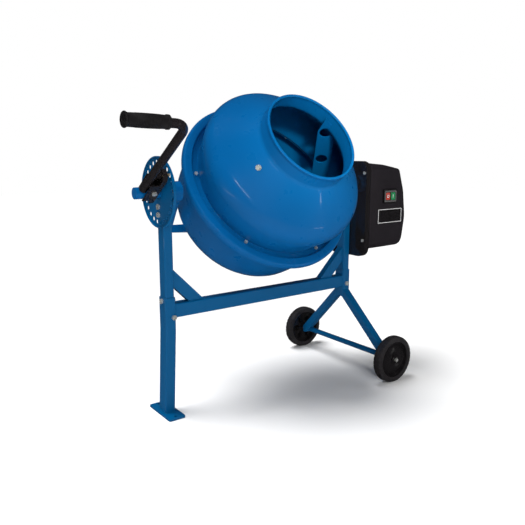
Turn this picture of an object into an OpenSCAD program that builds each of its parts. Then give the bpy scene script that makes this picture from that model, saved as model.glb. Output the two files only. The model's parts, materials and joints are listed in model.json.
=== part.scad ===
/* [Frame] */
// Distance between the two upright posts, centre to centre
post_spacing = 666; // [620:1:720]
// Height of the drum's tilt axis above the ground
tilt_height = 623.5; // [600:1:680]
// Width of an upper post, seen from the front
post_w = 26.6; // [24:0.2:30]
// Depth of an upper post, front to back
post_d = 35.6; // [32:0.2:40]
// Wall of every square tube
tube_wall = 2; // [1.5:0.1:3]
// Gap between an upper post and the sleeve that it slides into
sleeve_gap = 0.2; // [0.1:0.05:0.5]
// Height of the top of the two sleeves
sleeve_top = 336; // [325:1:345]
// Length of each sleeve
sleeve_len = 92; // [80:1:110]
// Height of the top face of the cross beam
beam_top = 317; // [300:1:322]
// Height of the cross beam's section
beam_h = 40; // [30:1:45]
// Depth of the cross beam, front to back
beam_d = 34; // [25:1:38]
// Outward lean of the support leg
leg_lean = 2.6; // [0:0.1:5]
// Length of the foot plate, front to back
foot_len = 126; // [110:1:150]
// Width of the foot plate
foot_w = 50; // [40:1:70]
// Thickness of the foot plate
foot_t = 6; // [4:0.5:10]
// Radius of the anchor holes in the foot plate
foot_hole_r = 5.5; // [4:0.1:7]
// Distance between the anchor holes
foot_hole_span = 102; // [90:1:106]
// Width of a corner brace, across its slope
brace_w = 34; // [25:1:36]
// Depth of a corner brace, front to back
brace_d = 22; // [16:1:30]
// Reach of a corner brace along the beam and up the post
brace_reach = 97; // [80:1:105]

/* [Wheels] */
// Diameter of a wheel
wheel_d = 150; // [130:1:160]
// Width of a tyre
tyre_w = 30; // [24:1:34]
// Radial thickness of a tyre
tyre_t = 17; // [12:1:22]
// Distance between the outer faces of the two wheels
track = 474; // [440:1:500]
// How far the axle stands outboard of the post's centre line
axle_out = 15; // [0:1:25]
// Width and depth of a wheel strut's square section
strut_w = 26; // [20:1:30]
// Outside diameter of the axle tube
axle_tube_d = 18; // [16:1:22]
// Diameter of the axle rod
axle_d = 10; // [8:1:12]
// Running clearance round shafts and pins
running_gap = 0.05; // [0.03:0.01:0.08]

/* [Drum] */
// Tilt of the drum axis from the vertical, towards the front
drum_tilt = 55; // [40:1:60]
// Sideways offset of the drum from the middle of the frame
drum_offset = 5; // [0:0.5:8]
// Sheet thickness of the drum
sheet_t = 2; // [1.5:0.1:3]
// Radius over the drum's clamping ring
ring_r = 275; // [270:1:277]
// Radius of the widest part of the dome, at the corner before rounding
dome_r = 256; // [245:1:258]
// Height of the mouth above the tilt axis, along the drum axis
mouth_z = 255; // [235:1:262]
// Radius of the mouth neck
neck_r = 134; // [120:1:145]
// Radius of the rolled bead at the mouth
bead_r = 4; // [3:0.5:6]
// Radius of the pan's wall under the clamping ring
pan_r = 253.5; // [245:0.5:254]
// Depth of the pan below the tilt axis
pan_depth = 208; // [195:1:212]
// Radius on which the clamping bolts sit
clamp_bolt_r = 236.5; // [235:0.5:238]
// Number of clamping bolts
clamp_bolts = 6; // [4:1:12]
// Direction of the first clamping bolt
clamp_bolt_turn = 49.3; // [0:0.1:60]
// Direction of the first mixing paddle's outer bolt
paddle_turn = 18; // [0:1:45]
// Width of a mixing paddle
paddle_w = 51; // [40:1:60]
// Thickness of a mixing paddle
paddle_t = 3; // [2:0.5:5]

/* [Drive] */
// Gear module of the drum drive
gear_m = 4; // [4:1:4]
// Teeth of the pinion
pinion_teeth = 8; // [8:1:8]
// Teeth of the drum's ring gear
ring_teeth = 132; // [132:1:132]
// Pressure angle of the gear teeth
pressure_angle = 25; // [20:1:25]
// Play between the meshing teeth, measured along the pitch line
backlash = 1; // [0.6:0.1:1.2]
// Width of the pinion's face
pinion_face = 10; // [8:1:11]
// Radius of the pinion shaft
pinion_shaft_r = 7.5; // [6:0.5:7.5]
// Radius of the large belt pulley
pulley_r = 60; // [50:1:66]
// Radius of the motor's belt pulley
motor_pulley_r = 10.5; // [9:0.5:14]
// Width of the belt pulleys
pulley_w = 14; // [12:1:18]
// Drop from the tilt axis to the motor's centre line
motor_drop = 145.5; // [138:0.5:158]
// Radius of the motor's body
motor_r = 52; // [45:1:54]
// Length of the motor's body
motor_len = 104; // [90:1:108]
// Front-to-back width of the motor housing
housing_w = 170; // [160:1:190]
// Drop from the tilt axis to the bottom of the housing's tray
tray_below = 237.5; // [230:0.5:245]
// Rise from the tilt axis to the top of the housing's tray
tray_above = 75.5; // [70:0.5:90]

/* [Tilting lever] */
// Radius of the locking disc
disc_r = 95; // [90:1:110]
// Number of lock positions round the disc
disc_holes = 24; // [12:12:24]
// Radius of the circle of lock holes
disc_hole_circle = 80; // [76:1:82]
// Radius of a lock hole
disc_hole_r = 5.8; // [5.8:0.1:7]
// Radius of the lock pin
lock_pin_r = 3.3; // [2.5:0.1:3.3]
// Outside diameter of the yoke's stub axle
stub_d = 31; // [28:1:32]
// Outside diameter of the lever tube
lever_d = 22; // [18:1:22]
// Distance of the hand grip from the tilt axis
lever_len = 291; // [240:1:300]
// Lean of the lever tube towards the drum
lever_lean = 2.6; // [1:0.1:3]
// Length of the hand grip
grip_len = 104; // [100:1:125]
// Diameter of the hand grip
grip_d = 31; // [28:1:36]

/* [Hidden] */
$fn = 96;

// Colours of the finishes
paint_blue = [0.05, 0.36, 0.62];
gloss_black = [0.06, 0.06, 0.07];
cover_grey = [0.17, 0.16, 0.18];
zinc = [0.75, 0.76, 0.78];
steel = [0.55, 0.56, 0.58];
rubber_black = [0.05, 0.05, 0.05];

// Upright posts and sleeves
post_x = post_spacing / 2;
sleeve_w = post_w + 2 * (sleeve_gap + tube_wall);
sleeve_d = post_d + 2 * (sleeve_gap + tube_wall);
sleeve_bottom = sleeve_top - sleeve_len;
post_inner_x = post_x - post_w / 2;
post_outer_x = post_x + post_w / 2;
beam_half = post_x - sleeve_w / 2;
beam_axis_z = beam_top - beam_h / 2;
leg_foot_x = -post_x - (sleeve_bottom - foot_t) * tan(leg_lean);
post_foot_z = sleeve_bottom + 12;

// Bearing housings across the tops of the posts
housing_r = 25;
bush_r = 21;
trunnion_r = 18;
stub_r = stub_d / 2;
bush_flange_r = 24;
bush_flange_t = 2;
stub_end_x = post_x + 85;
stub_wall = 3.5;
stub_cap_t = 4;
eye_r = 28;

// Fastenings
bolt_flats = 13;
bolt_r = 4;
bolt_hole_r = 4.1;
small_bolt_flats = 10;
small_bolt_r = 3;
small_hole_r = 3.1;
side_bolt_z = sleeve_top - 10;

// Wheels and axle
wheel_r = wheel_d / 2;
axle_x = post_x + axle_out;
axle_r = axle_d / 2;
rim_r = wheel_r - tyre_t;
wheel_outer_y = track / 2;
wheel_mid_y = wheel_outer_y - tyre_w / 2;
washer_t = 2;
hub_half = tyre_w / 2 - 1;
tube_end_y = wheel_mid_y - hub_half - washer_t - 1;
axle_end_y = wheel_outer_y + 6;
strut_top_y = 13;
strut_top_z = sleeve_bottom + 14;
strut_foot_y = wheel_outer_y - tyre_w - 10;

// Lock disc
disc_t = 3;
disc_x = -post_outer_x - disc_t;
disc_lip = 4;

// Drum sections, measured along the drum axis from the tilt axis
flange_z = 17;
neck_z = 210;
bulge_z = 131.5;
dome_foot_r = 228.5;
channel_r = 250;
shoulder_slope = atan2(neck_z - bulge_z, dome_r - neck_r);
shoulder_r = 168;
shoulder_z = neck_z - (shoulder_r - neck_r) * tan(shoulder_slope);
paddle_offset = 104;
paddle_twist = 43.4;
paddle_middle = [117.7, 140];
paddle_slant = 27.8;
paddle_hole_r = 18;
seal_t = 2;
channel_z = 27;
skirt_z = 10;
lip_z = flange_z - sheet_t - seal_t;
hub_bore_r = 21;
hub_wall_r = 27;
hub_top_z = -166;
hub_bottom_z = -222;
hub_flange_r = 60;
hub_flange_t = 5;
bearing_w = 12;
shaft_r = 10;
collar_r = 16;

// Yoke under the drum
yoke_t = 25;
yoke_arm_x = post_inner_x - 6 - yoke_t / 2;
yoke_foot_x = yoke_arm_x - 61;
yoke_foot_z = -216;
yoke_cross_z = -241;
bearing_out_r = 14;

// Gears
pinion_pitch_r = gear_m * pinion_teeth / 2;
ring_pitch_r = gear_m * ring_teeth / 2;
ring_addendum = 0.6 * gear_m;
ring_root_z = pinion_pitch_r + 1.15 * gear_m;
pinion_tip_r = pinion_pitch_r + gear_m;
pinion_root_r = pinion_pitch_r - ring_addendum - 0.8;
ring_in_r = ring_pitch_r - 7;
ring_out_r = ring_pitch_r + 7;
ring_top_z = channel_z - sheet_t - 0.1;
pinion_x = drum_offset + ring_pitch_r;

// Motor housing
tray_x = post_outer_x + 0.7;
tray_depth = 20;
tray_t = 2.5;
tray_r = 30;
tray_bottom = tilt_height - tray_below;
tray_top = tilt_height + tray_above;
tray_bolt_drops = [142, 186];
cover_x = tray_x + tray_depth;
cover_t = 3;
cover_z0 = tray_bottom + 23;
cover_z1 = tray_top - 6;
cover_corner_r = 24;
cover_boss_r = 6.5;
cover_boss_len = 18;
screw_r = 2.2;
motor_z = tilt_height - motor_drop;
pulley_x = cover_x + 6;
pulley_mid_x = pulley_x + pulley_w / 2;
shaft_end_x = pulley_x + pulley_w + 6;
mount_x = pulley_x + pulley_w + 3;
mount_t = 4;
motor_x = mount_x + mount_t;
fan_x = motor_x + motor_len + 3;
fan_t = 8;
fan_r = 40;
rotor_r = 7;
belt_t = 3;
belt_w = 10;
switch_x = cover_x + 91;
switch_z = tilt_height - 40.5;
start_x = switch_x + 12.5;
stop_x = switch_x - 12.5;
bezel_w = 63;
bezel_h = 47;
bezel_t = 5;
button_w = 20;
button_h = 24;
button_gap = 0.3;
button_len = 13;
button_proud = 1.5;
button_travel = 3;
switch_front_y = -housing_w / 2 - bezel_t;
pocket_floor_y = switch_front_y - button_proud + button_len + 2 * button_travel;
inlet_x = cover_x + 88;
inlet_z = motor_z - 26;
inlet_w = 56;
inlet_h = 50;

// Tilting lever
lever_x = -post_x - 67;
pivot_x = -post_x - 45;
pivot_e = 29;
bracket_x = disc_x - disc_lip - 9;
bracket_half = 17;
bracket_t = 3;
bracket_top = 97;
bracket_bottom = -21;
pin_e = 83;
lever_foot_e = stub_r + 3;
lever_bend_r = 34;
bend_x = lever_x - lever_bend_r;
bend_e = lever_len - lever_bend_r;
grip_end_x = bend_x - 15 - grip_len;
grip_flange_t = 5;
grip_flange_r = grip_d / 2 + 2.5;

// The origin lies on the ground under the middle of the whole outline
outline_left = lever_x + (grip_end_x - grip_flange_t - lever_x) * cos(lever_lean)
    + (lever_len - grip_flange_r - lever_foot_e) * sin(lever_lean);
outline_right = max([for (p = cover_side(0)) p[0]]);
outline_front = -mouth_z * sin(drum_tilt) - neck_r * cos(drum_tilt) - bead_r;
outline_rear = max(axle_end_y, pan_reach());
origin_x = (outline_left + outline_right) / 2;
origin_y = (outline_front + outline_rear) / 2;

// ---------- helpers ----------

function unit(v) = v / norm(v);
function reverse(list) = [for (i = [len(list) - 1:-1:0]) list[i]];
function xy(p) = [p[0], p[1]];

// Points of a rounded corner at b, between a and c
function corner(a, b, c, r, n) =
    r <= 0 ? [b] :
    let (u = unit(a - b), w = unit(c - b), half = acos(u * w) / 2)
    let (centre = b + unit(u + w) * r / sin(half))
    let (p = b + u * r / tan(half) - centre, q = b + w * r / tan(half) - centre)
    let (first = atan2(p[1], p[0]), last = atan2(q[1], q[0]))
    let (turn = (last - first + 540) % 360 - 180)
    [for (i = [0:n]) centre + r * [cos(first + turn * i / n), sin(first + turn * i / n)]];

// An open path of [x, y, fillet radius] with its corners rounded
function open_path(p, n) = [
    xy(p[0]),
    for (i = [1:len(p) - 2]) each corner(xy(p[i - 1]), xy(p[i]), xy(p[i + 1]), p[i][2], n),
    xy(p[len(p) - 1])];

// A closed path of [x, y, fillet radius] with its corners rounded
function closed_path(p, n) = let (c = len(p)) [
    for (i = [0:c - 1])
        each corner(xy(p[(i + c - 1) % c]), xy(p[i]), xy(p[(i + 1) % c]), p[i][2], n)];

function left_normal(a, b) = let (d = unit(b - a)) [-d[1], d[0]];

// A path moved sideways by t, to the left of its direction
function beside(p, t) = [
    for (i = [0:len(p) - 1])
        let (a = i == 0 ? left_normal(p[0], p[1]) : left_normal(p[i - 1], p[i]))
        let (b = i == len(p) - 1 ? a : left_normal(p[i], p[i + 1]))
        let (m = unit(a + b))
        p[i] + m * t / (m * a)];

module placed() {
    translate([-origin_x, -origin_y, 0]) children();
}

// Tilting frame: +Z along the drum axis, +X along the tilt axis
module on_tilt_axis() {
    placed() translate([0, 0, tilt_height]) rotate([drum_tilt, 0, 0]) children();
}

module on_drum_axis() {
    on_tilt_axis() translate([drum_offset, 0, 0]) children();
}

module along_x(x) {
    translate([x, 0, 0]) rotate([0, 90, 0]) children();
}

module along_y(y) {
    translate([0, y, 0]) rotate([-90, 0, 0]) children();
}

module rounded_rect(w, d, r) {
    square([w - 2 * r, d], center = true);
    square([w, d - 2 * r], center = true);
    for (sx = [-1, 1], sy = [-1, 1])
        translate([sx * (w / 2 - r), sy * (d / 2 - r)]) circle(r, $fn = 32);
}

// A rounded square tube along +Z
module square_tube(w, d, length, wall = tube_wall) {
    linear_extrude(length) difference() {
        rounded_rect(w, d, 2 * wall);
        rounded_rect(w - 2 * wall, d - 2 * wall, wall);
    }
}

module ring(r_out, r_in, length) {
    rotate_extrude() translate([r_in, 0]) square([r_out - r_in, length]);
}

module hex_head(flats, height) {
    cylinder(d = flats / cos(30), h = height, $fn = 6);
}

// A hex bolt: head above z = 0, shank below it, nut at depth grip
module bolt(flats, shank_r, grip) {
    hex_head(flats, flats * 0.4);
    translate([0, 0, -grip - flats * 0.6]) cylinder(r = shank_r, h = grip + flats * 0.6 + 1);
    translate([0, 0, -grip - flats * 0.5]) hex_head(flats, flats * 0.5);
}

// ---------- frame ----------

module support_leg() {
    color(paint_blue) placed() difference() {
        union() {
            translate([-post_x, 0, sleeve_bottom]) square_tube(sleeve_w, sleeve_d, sleeve_len);
            intersection() {
                leg_lower() square_tube(sleeve_w, sleeve_d, 400);
                leg_span();
            }
        }
        frame_bolt_holes();
    }
}

// Leaning frame of the lower leg, from below the ground up to the sleeve
module leg_lower() {
    translate([-post_x, 0, sleeve_bottom]) rotate([0, leg_lean, 0])
        translate([0, 0, -400]) children();
}

module leg_span() {
    translate([-post_x - 60, -40, foot_t]) cube([120, 80, sleeve_bottom - foot_t]);
}

module foot_plate() {
    color(paint_blue) placed() translate([leg_foot_x, 0, 0]) linear_extrude(foot_t) difference() {
        rounded_rect(foot_w, foot_len, 5);
        for (s = [-1, 1]) translate([0, s * foot_hole_span / 2]) circle(foot_hole_r);
    }
}

module cross_beam() {
    color(paint_blue) placed() translate([-beam_half, 0, beam_axis_z]) rotate([0, 90, 0])
        square_tube(beam_h, beam_d, 2 * beam_half);
}

module post_tube() {
    post_top = tilt_height - 8;
    translate([0, 0, post_foot_z]) square_tube(post_w, post_d, post_top - post_foot_z);
}

// One post with its cross-bored bearing housing
module post(bush_inner) {
    difference() {
        union() {
            difference() {
                post_tube();
                translate([0, 0, tilt_height]) along_x(-post_w) cylinder(r = housing_r, h = 2 * post_w);
            }
            translate([0, 0, tilt_height]) along_x(-post_w / 2) ring(housing_r, bush_inner, post_w);
        }
    }
}

module left_post() {
    color(paint_blue) placed() difference() {
        translate([-post_x, 0, 0]) post(bush_r);
        frame_bolt_holes();
        disc_bolt_holes();
    }
}

module right_post() {
    color(paint_blue) placed() difference() {
        translate([post_x, 0, 0]) post(bush_r);
        frame_bolt_holes();
        tray_bolt_holes();
    }
}

module right_sleeve() {
    color(paint_blue) placed() difference() {
        translate([post_x, 0, sleeve_bottom]) square_tube(sleeve_w, sleeve_d, sleeve_len);
        frame_bolt_holes();
    }
}

// Sloping tube between the beam and a post, cut square to both
module brace() {
    wide = brace_w / sin(45);
    translate([0, brace_d / 2, 0]) rotate([90, 0, 0]) linear_extrude(brace_d) difference() {
        polygon([[-brace_reach, 0], [-brace_reach + wide, 0], [0, brace_reach - wide],
            [0, brace_reach]]);
    }
}

module left_brace() {
    color(paint_blue) placed() translate([-post_inner_x, 0, beam_top]) mirror([1, 0, 0])
        brace_cut();
}

module right_brace() {
    color(paint_blue) placed() translate([post_inner_x, 0, beam_top]) brace_cut();
}

// The brace stops at the sleeve, which is wider than the post above it
module brace_cut() {
    step = (sleeve_w - post_w) / 2;
    difference() {
        brace();
        translate([-step, -sleeve_d / 2, -1]) cube([step + 1, sleeve_d, sleeve_top - beam_top + 1]);
    }
}

module trunnion_bushes() {
    color(steel) placed() {
        translate([-post_inner_x, 0, tilt_height]) rotate([0, -90, 0]) bush(stub_r);
        translate([post_inner_x, 0, tilt_height]) rotate([0, 90, 0]) bush(trunnion_r);
    }
}

// A flanged bush with its flange on the drum's side
module bush(shaft) {
    translate([0, 0, -bush_flange_t]) ring(bush_flange_r, shaft + running_gap, bush_flange_t);
    ring(bush_r, shaft + running_gap, post_w);
}

module locking_disc() {
    color(paint_blue) placed() translate([0, 0, tilt_height]) difference() {
        along_x(disc_x) union() {
            cylinder(r = disc_r - 2, h = disc_t);
            translate([0, 0, -disc_lip]) ring(disc_r, disc_r - 3, disc_lip + disc_t);
            }
        along_x(disc_x - 1) cylinder(r = stub_r + 2, h = disc_t + 2);
        for (i = [0:disc_holes - 1])
            rotate([drum_tilt + i * 360 / disc_holes, 0, 0]) translate([0, 0, disc_hole_circle])
                along_x(disc_x - 1) cylinder(r = disc_hole_r, h = disc_t + 2, $fn = 32);
        for (p = disc_bolt_places())
            translate([0, p[0], p[1]]) along_x(disc_x - 3) cylinder(r = bolt_hole_r, h = disc_t + 5);
    }
}

// Places of the disc's fixing bolts, [across, up] from the tilt axis
function disc_bolt_places() = [[0, -38], [0, -60]];

module disc_bolt_holes() {
    for (p = disc_bolt_places())
        translate([0, p[0], tilt_height + p[1]]) along_x(-post_outer_x - 1)
            cylinder(r = bolt_hole_r, h = tube_wall + 2);
}

module strut(side) {
    intersection() {
        strut_line(side);
        strut_room(side);
    }
}

// Square tube from the sleeve's foot to the axle tube's end
module strut_line(side) {
    top = [post_x, side * strut_top_y, strut_top_z];
    foot = [axle_x, side * strut_foot_y, wheel_r];
    run = foot - top;
    drop = norm([run[1], run[2]]);
    translate(top) rotate([side * atan2(run[1] * side, -run[2]), 0, 0])
        rotate([0, -atan2(run[0], drop), 0]) mirror([0, 0, 1])
        translate([0, 0, -20]) square_tube(strut_w, strut_w, norm(run) + 20 + strut_w / 2);
}

// A strut stays on its own side, inboard of its wheel and ends just under the axle tube
module strut_room(side) {
    translate([0, side > 0 ? 0 : -tube_end_y, wheel_r - axle_tube_d / 2 - 4])
        cube([2 * post_x, tube_end_y, sleeve_bottom - wheel_r + 50]);
}

module strut_cutters() {
    translate([post_x, 0, sleeve_bottom]) linear_extrude(sleeve_len)
        rounded_rect(sleeve_w, sleeve_d, 2 * tube_wall);
    translate([axle_x, 0, wheel_r]) along_y(-tube_end_y - 1)
        cylinder(d = axle_tube_d, h = 2 * tube_end_y + 2);
}

module strut_front() {
    color(paint_blue) placed() difference() {
        strut(-1);
        strut_cutters();
    }
}

module strut_rear() {
    color(paint_blue) placed() difference() {
        strut(1);
        strut_cutters();
    }
}

module axle_tube() {
    color(paint_blue) placed() translate([axle_x, 0, wheel_r]) along_y(-tube_end_y)
        ring(axle_tube_d / 2, axle_r, 2 * tube_end_y);
}

module wheel_axle() {
    color(zinc) placed() translate([axle_x, 0, wheel_r]) difference() {
        along_y(-axle_end_y) cylinder(r = axle_r, h = 2 * axle_end_y);
        for (s = [-1, 1]) translate([0, s * (axle_end_y - 2.6), -axle_r - 1])
            cylinder(r = 1.2, h = axle_d + 2, $fn = 24);
    }
}

module axle_retainers() {
    color(zinc) placed() for (s = [-1, 1]) {
        translate([axle_x, s * (tube_end_y + washer_t / 2 + 0.2), wheel_r]) along_y(-washer_t / 2)
            ring(11, axle_r, washer_t);
        translate([axle_x, s * (axle_end_y - 2.6), wheel_r - 8])
            cylinder(r = 1.2, h = 16, $fn = 24);
    }
}

// Places of the bolts that cross a post and its sleeve from the front
function front_bolt_places() = [[-post_x + 9, 280], [post_x, 289]];

module frame_bolt_holes() {
    for (p = front_bolt_places())
        translate([p[0], 0, p[1]]) along_y(-sleeve_d) cylinder(r = bolt_hole_r, h = 2 * sleeve_d);
    translate([0, 0, side_bolt_z]) along_x(-post_x - sleeve_w)
        cylinder(r = bolt_hole_r, h = 2 * sleeve_w);
}

module frame_bolts() {
    color(zinc) placed() {
        for (p = front_bolt_places())
            translate([p[0], -sleeve_d / 2, p[1]]) rotate([90, 0, 0]) bolt(bolt_flats, bolt_r, sleeve_d);
        translate([-post_x - sleeve_w / 2, 0, side_bolt_z]) rotate([0, -90, 0])
            bolt(bolt_flats, bolt_r, sleeve_w);
        for (p = disc_bolt_places())
            translate([disc_x, p[0], tilt_height + p[1]]) rotate([0, -90, 0])
                bolt(bolt_flats, bolt_r, disc_t + tube_wall);
    }
}

// ---------- motor housing ----------

module tray_outline(inset = 0) {
    translate([0, (tray_bottom + tray_top) / 2])
        rounded_rect(housing_w - 2 * inset, tray_top - tray_bottom - 2 * inset, tray_r - inset);
}

// Draws an outline of [front to back, up] and extrudes it along +X
module facing_x(x, length) {
    translate([x, 0, 0]) rotate([90, 0, 90]) linear_extrude(length) children();
}

function tray_bolt_places() = [for (drop = tray_bolt_drops) tilt_height - drop];

module tray_bolt_holes() {
    for (z = tray_bolt_places())
        translate([0, 0, z]) along_x(post_outer_x - tube_wall - 1) cylinder(r = bolt_hole_r, h = 12);
}

module motor_tray() {
    color(gloss_black) placed() difference() {
        facing_x(tray_x, tray_depth) tray_outline();
        facing_x(tray_x + tray_t, tray_depth) tray_outline(tray_t);
        translate([0, 0, tilt_height]) along_x(tray_x - 1) cylinder(r = trunnion_r + 3, h = tray_t + 2);
        for (p = cover_screw_places())
            translate([0, p[0], p[1]]) along_x(tray_x - 1) cylinder(r = screw_r, h = tray_t + 2);
        for (z = tray_bolt_places())
            translate([0, 0, z]) along_x(tray_x - 1) cylinder(r = bolt_hole_r, h = tray_t + 2);
    }
}

module tray_bolts() {
    color(zinc) placed() for (z = tray_bolt_places())
        translate([tray_x + tray_t, 0, z]) rotate([0, 90, 0])
            bolt(bolt_flats, bolt_r, tray_t + 0.7 + tube_wall);
}

// Front silhouette of the cover, grown inwards by an inset
function cover_side(inset) = closed_path([
    [cover_x - 1, cover_z0 + inset, 0],
    [cover_x + 149 - inset, cover_z0 + 4 + inset, 16],
    [cover_x + 161 - inset, cover_z0 + 31, 60],
    [cover_x + 172 - inset, cover_z0 + 103, 120],
    [cover_x + 160 - inset, cover_z0 + 191, 90],
    [cover_x + 136 - inset, cover_z1 - 21 - inset, 16],
    [cover_x + 63, cover_z1 - 6 - inset, 90],
    [cover_x - 1, cover_z1 - inset, 0]], 8);

module cover_solid(inset) {
    intersection() {
        translate([0, housing_w / 2 - inset, 0]) rotate([90, 0, 0])
            linear_extrude(housing_w - 2 * inset) polygon(cover_side(inset));
        facing_x(cover_x + (inset > 0 ? -0.5 : 0), 200) translate([0, (cover_z0 + cover_z1) / 2])
            rounded_rect(housing_w - 2 * inset, cover_z1 - cover_z0 - 2 * inset, cover_corner_r - inset);
    }
}

module motor_cover() {
    color(cover_grey) placed() {
        cover_shell();
        for (p = cover_screw_places()) cover_boss(p);
    }
}

module cover_shell() {
    difference() {
        cover_solid(0);
        cover_solid(cover_t);
        translate([switch_x, -housing_w / 2, switch_z])
            cube([bezel_w - 12, 20, bezel_h - 12], center = true);
        translate([inlet_x, housing_w / 2, inlet_z]) cube([inlet_w - 12, 20, inlet_h - 12], center = true);
    }
}

// Places of the screws that tie the cover to the tray, [across, up]
function cover_screw_places() = [for (sy = [-1, 1], z = [cover_z0 + 32, cover_z1 - 32])
    [sy * (housing_w / 2 - 9), z]];

module cover_boss(p) {
    translate([0, p[0], p[1]]) along_x(cover_x) ring(cover_boss_r, screw_r, cover_boss_len);
}

module cover_screws() {
    color(zinc) placed() for (p = cover_screw_places())
        translate([tray_x, p[0], p[1]]) rotate([0, -90, 0]) {
            cylinder(r = 5, h = 2.4);
            translate([0, 0, -tray_depth - 17]) cylinder(r = screw_r, h = tray_depth + 17);
        }
}

module motor_body() {
    color(steel) placed() translate([0, 0, motor_z]) along_x(motor_x) difference() {
        union() {
            cylinder(r = motor_r, h = motor_len);
            for (i = [0:11]) rotate(i * 30) translate([motor_r - 1, -1.5, 12]) cube([4, 3, motor_len - 24]);
        }
        translate([0, 0, -1]) cylinder(r = rotor_r + running_gap, h = motor_len + 2);
        translate([0, 0, 12]) cylinder(r = 31, h = motor_len - 24);
    }
}

module motor_mount() {
    color(steel) placed() difference() {
        union() {
            facing_x(mount_x, mount_t) translate([0, motor_z]) rounded_rect(130, 108, 10);
            for (sy = [-1, 1], sz = [-1, 1])
                translate([0, sy * 56, motor_z + sz * 44]) along_x(tray_x + tray_t)
                    cylinder(r = 5, h = mount_x - tray_x - tray_t);
        }
        translate([0, 0, motor_z]) along_x(mount_x - 1) cylinder(r = 18, h = mount_t + 2);
    }
}

// Outline of a belt round two pulleys, with straight runs between them
module belt_outline(big, small) {
    span = tilt_height - motor_z;
    lean = asin((big - small) / span);
    circle(big);
    translate([0, -span]) circle(small);
    polygon([[-big * cos(lean), -big * sin(lean)], [-small * cos(lean), -span - small * sin(lean)],
        [small * cos(lean), -span - small * sin(lean)], [big * cos(lean), -big * sin(lean)]]);
}

module drive_belt() {
    color(rubber_black) placed() facing_x(pulley_mid_x - belt_w / 2, belt_w)
        translate([0, tilt_height]) difference() {
            belt_outline(pulley_r + belt_t, motor_pulley_r + belt_t);
            belt_outline(pulley_r + 0.2, motor_pulley_r + 0.2);
        }
}

// A flat-belt pulley with a lip on each side
module pulley(r, bore, lip) {
    side = (pulley_w - belt_w) / 2 - 0.5;
    difference() {
        union() {
            cylinder(r = r, h = pulley_w);
            cylinder(r = r + lip, h = side);
            translate([0, 0, pulley_w - side]) cylinder(r = r + lip, h = side);
        }
        translate([0, 0, -1]) cylinder(r = bore, h = pulley_w + 2);
    }
}

module button_pocket(x) {
    translate([x - button_w / 2 - button_gap, switch_front_y - 1, switch_z - button_h / 2 - button_gap])
        cube([button_w + 2 * button_gap, pocket_floor_y - switch_front_y + 1, button_h + 2 * button_gap]);
}

module switch_housing() {
    color(gloss_black) placed() difference() {
        union() {
            translate([switch_x, -housing_w / 2, switch_z]) rotate([90, 0, 0]) linear_extrude(bezel_t)
                rounded_rect(bezel_w, bezel_h, 4);
            translate([switch_x - bezel_w / 2 + 6, -housing_w / 2, switch_z - bezel_h / 2 + 6])
                cube([bezel_w - 12, 26, bezel_h - 12]);
        }
        button_pocket(start_x);
        button_pocket(stop_x);
    }
}

module button(x) {
    translate([x, switch_front_y - button_proud, switch_z]) rotate([-90, 0, 0])
        linear_extrude(button_len)
        rounded_rect(button_w, button_h, 2);
}

module start_button() {
    color([0.1, 0.5, 0.25]) placed() button(start_x);
}

module stop_button() {
    color([0.75, 0.12, 0.1]) placed() button(stop_x);
}

module power_inlet() {
    color(gloss_black) placed() difference() {
        union() {
            translate([inlet_x, housing_w / 2, inlet_z]) rotate([-90, 0, 0]) linear_extrude(8)
                rounded_rect(inlet_w, inlet_h, 4);
            translate([inlet_x - inlet_w / 2 + 6, housing_w / 2 - 15, inlet_z - inlet_h / 2 + 6])
                cube([inlet_w - 12, 15, inlet_h - 12]);
        }
        translate([inlet_x, housing_w / 2 - 10, inlet_z]) along_y(0) cylinder(r = 16, h = 30);
    }
    color(steel) placed() for (i = [-1, 0, 1])
        translate([inlet_x + i * 8, housing_w / 2 - 11, inlet_z - (i == 0 ? 5 : -3)]) along_y(0)
            cylinder(r = 2, h = 12, $fn = 24);
}

// ---------- yoke ----------

// A straight bar in the plane of the tilt axis and the drum axis
module yoke_bar(a, b) {
    side = left_normal(a, b) * yoke_t / 2;
    translate([0, yoke_t / 2, 0]) rotate([90, 0, 0]) linear_extrude(yoke_t)
        polygon([a + side, b + side, b - side, a - side]);
}

module yoke_arm(side, bore) {
    top = [side * yoke_arm_x, 14];
    foot = [side * yoke_foot_x, yoke_foot_z];
    difference() {
        union() {
            yoke_bar(top, foot);
            along_x(side * yoke_arm_x - yoke_t / 2) cylinder(r = eye_r, h = yoke_t);
        }
        along_x(side * yoke_arm_x - 30) cylinder(r = bore, h = 60);
    }
}

module yoke_arm_left() {
    color(paint_blue) on_tilt_axis() yoke_arm(-1, stub_r);
}

module yoke_arm_right() {
    color(paint_blue) on_tilt_axis() yoke_arm(1, trunnion_r);
}

// The shallow V under the drum, mitred to the arms
module yoke_cross() {
    low = [drum_offset, yoke_cross_z];
    half = yoke_t / 2;
    color(paint_blue) on_tilt_axis() difference() {
        translate([0, half, 0]) rotate([90, 0, 0]) linear_extrude(yoke_t) polygon([
            [-yoke_foot_x - half, yoke_foot_z - 2], [-yoke_foot_x + half, yoke_foot_z - 2],
            low + [0, half], [yoke_foot_x - half, yoke_foot_z - 2],
            [yoke_foot_x + half, yoke_foot_z - 2], low - [0, half]]);
        yoke_bar([-yoke_arm_x, 14], [-yoke_foot_x, yoke_foot_z]);
        yoke_bar([yoke_arm_x, 14], [yoke_foot_x, yoke_foot_z]);
        translate([drum_offset, 0, yoke_cross_z - 40]) cylinder(r = shaft_r, h = 80);
        translate([drum_offset, 0, yoke_cross_z + half]) cylinder(r = collar_r + 0.3, h = 20);
    }
}

module left_trunnion() {
    length = stub_end_x - yoke_arm_x + yoke_t / 2 + 2;
    color(paint_blue) on_tilt_axis() along_x(-stub_end_x) difference() {
        cylinder(r = stub_r, h = length);
        translate([0, 0, stub_cap_t]) cylinder(r = stub_r - stub_wall, h = length);
    }
}

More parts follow.
